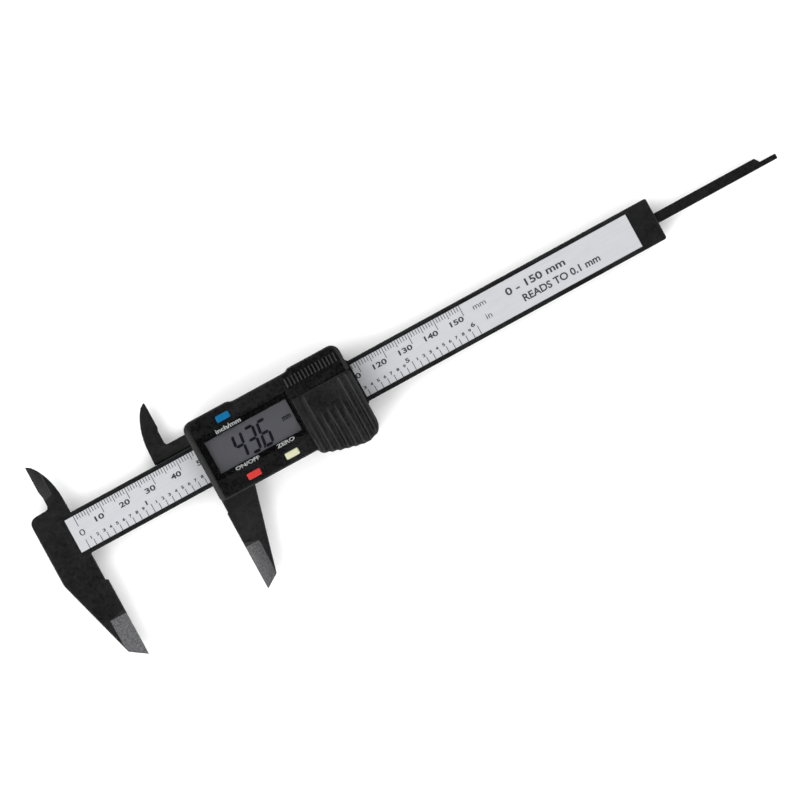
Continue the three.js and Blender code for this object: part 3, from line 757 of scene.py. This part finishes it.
def inside(point, outline):
    crossing = False
    for a, b in zip(outline, outline[1:] + outline[:1]):
        if (a.y > point.y) != (b.y > point.y):
            if point.x < a.x + (point.y - a.y) * (b.x - a.x) / (b.y - a.y):
                crossing = not crossing
    return crossing


def scattered_inside(outline):
    """Spots inside the outline, crowded near its edge, each with its distance from the edge."""
    spots = []

    def distance_of(spot):
        return min((spot - other).length for other in outline)

    count = len(outline)
    for depth in (0.07, 0.16, 0.28, 0.43, 0.62, 0.85, 1.1, 1.4):
        kept = None
        for i, point in enumerate(outline):
            along = outline[(i + 1) % count] - outline[i - 1]
            spot = point + Vector((-along.y, along.x)).normalized() * depth * mm
            crowded = kept is not None and (spot - kept).length < 0.6 * min(depth, 0.4) * mm
            distance = distance_of(spot)
            if not crowded and distance > 0.9 * depth * mm and inside(spot, outline):
                spots.append((spot, distance))
                kept = spot
    offsets = (-0.28, -0.12, 0.0, 0.12, 0.28, 0.45, 0.65, 0.9, 1.2, 1.6, 2.0)
    row_pitch = 0.36 * mm
    rows = int((cover_upper_edge - cover_low.y) / row_pitch)
    for period in range(-2, len(treads) + 2):
        for offset in offsets:
            x = groove_x(period) + offset * mm
            for row in range(rows):
                spot = Vector((x, cover_low.y + (row + 0.5) * row_pitch))
                if inside(spot, outline) and distance_of(spot) > 1.45 * mm:
                    spots.append((spot, distance_of(spot)))
    return spots


def add_wall(bm, upper, lower):
    count = len(upper)
    for i in range(count):
        j = (i + 1) % count
        bm.faces.new((upper[i], lower[i], lower[j], upper[j]))


def add_ring(bm, points, z):
    return [bm.verts.new((p.x, p.y, z)) for p in points]


def add_grip_cover():
    outline = cover_outline(0)
    spots = scattered_inside(outline)
    bm = bmesh.new()
    rim = [bm.verts.new((p.x, p.y, cover_top(p, 0))) for p in outline]
    middle = [bm.verts.new((p.x, p.y, cover_top(p, distance))) for p, distance in spots]
    corners = rim + middle
    flat = [Vector((v.co.x, v.co.y)) / mm for v in corners]
    edges = [(i, (i + 1) % len(rim)) for i in range(len(rim))]
    _, _, faces, origins, _, _ = delaunay_2d_cdt(flat, edges, [], 1, 1e-5)
    for face in faces:
        found = {corners[origins[i][0]] for i in face if origins[i]}
        if len(found) == 3:
            bm.faces.new(found)
    bmesh.ops.recalc_face_normals(bm, faces=bm.faces)

    hem = 0.12 * mm
    rim_low = add_ring(bm, outline, cover_low.z + hem)
    add_wall(bm, rim, rim_low)
    for face in bm.faces:
        face.smooth = True
    outer_foot = add_ring(bm, outline, cover_low.z)
    add_wall(bm, rim_low, outer_foot)
    lining = cover_outline(cover_wall)
    inner_foot = add_ring(bm, lining, cover_low.z)
    add_wall(bm, outer_foot, inner_foot)
    inner_top = add_ring(bm, lining, cover_ceiling)
    add_wall(bm, inner_foot, inner_top)
    bm.faces.new(inner_top)
    mesh = mesh_of(bm, "grip_cover")
    piece = add_piece("grip_cover", mesh, "cover", cover_black)
    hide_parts("battery_cover")


add_ticks()
add_scale_numbers()
add_scale_words()
add_legends()
add_readout()
add_grip_cover()


# ---------------------------------------------------------------- floor, light and camera

def add_floor():
    bm = bmesh.new()
    reach = 3.0
    below = 0.2 * mm
    corners = rectangle(-reach, reach, -reach, reach)
    bm.faces.new([bm.verts.new((x, y, -below)) for x, y in corners])
    mesh = mesh_of(bm, "floor")
    material, tree, shader = new_material("pale_paper")
    fibres = object_noise(tree, 60, 3)
    stops = [(0.3, (0.92, 0.92, 0.92)), (0.7, (0.94, 0.94, 0.94))]
    tree.links.new(ramp(tree, fibres, stops), shader.inputs["Base Color"])
    shader.inputs["Roughness"].default_value = 0.9
    shader.inputs["Specular IOR Level"].default_value = 0.1
    shader.inputs["Emission Color"].default_value = (1, 1, 1, 1)
    shader.inputs["Emission Strength"].default_value = 0.1
    mesh.materials.append(material)
    floor = bpy.data.objects.new("floor", mesh)
    bpy.context.scene.collection.objects.link(floor)


def add_light(name, place, size, watts):
    light = bpy.data.lights.new(name, "AREA")
    light.shape = "DISK"
    light.size = size
    light.energy = watts
    lamp = bpy.data.objects.new(name, light)
    lamp.location = place
    lamp.rotation_euler = (-Vector(place)).to_track_quat("-Z", "Y").to_euler()
    bpy.context.scene.collection.objects.link(lamp)


def add_world():
    """A pale studio: bright round the horizon, most of all on the left, and dim overhead."""
    world = bpy.data.worlds.new("studio")
    world.use_nodes = True
    tree = world.node_tree
    place = tree.nodes.new("ShaderNodeTexCoord")
    parts = tree.nodes.new("ShaderNodeSeparateXYZ")
    tree.links.new(place.outputs["Generated"], parts.inputs["Vector"])
    levels = [(0.0, 0.8), (0.35, 1.0), (0.8, 1.0), (0.93, 0.02)]
    colour = ramp(tree, parts.outputs["Z"], [(height, (level,) * 3) for height, level in levels])
    tree.links.new(colour, tree.nodes["Background"].inputs["Color"])
    left_gain, side_loss, brightness = 0.3, 0.4, 2.2
    leftwards = math_node(tree, "MULTIPLY_ADD", parts.outputs["X"], -left_gain, 1.0)
    sideways = math_node(tree, "MULTIPLY", parts.outputs["Y"], parts.outputs["Y"])
    glow = math_node(tree, "MULTIPLY_ADD", sideways, -side_loss, leftwards)
    strength = math_node(tree, "MULTIPLY", glow, brightness)
    tree.links.new(strength, tree.nodes["Background"].inputs["Strength"])
    bpy.context.scene.world = world


def add_camera():
    """Straight above, through a long lens, turned so that the beam rises to the upper right."""
    camera = bpy.data.cameras.new("camera")
    camera.sensor_width = 36
    distance = 4.0
    picture_width = 0.2733
    camera.lens = camera.sensor_width * distance / picture_width
    viewer = bpy.data.objects.new("camera", camera)
    look_at = zero + Vector((116.83, -12.55, 0)) * mm
    viewer.location = (look_at.x, look_at.y, distance + label_high.z)
    viewer.rotation_euler = (0, 0, -math.radians(28.65))
    camera.clip_end = 20
    bpy.context.scene.collection.objects.link(viewer)
    bpy.context.scene.camera = viewer


add_floor()
add_world()
add_light("left_light", (-1.15, -0.55, 0.8), 0.8, 6)
add_camera()
bpy.context.scene.view_settings.view_transform = "Standard"
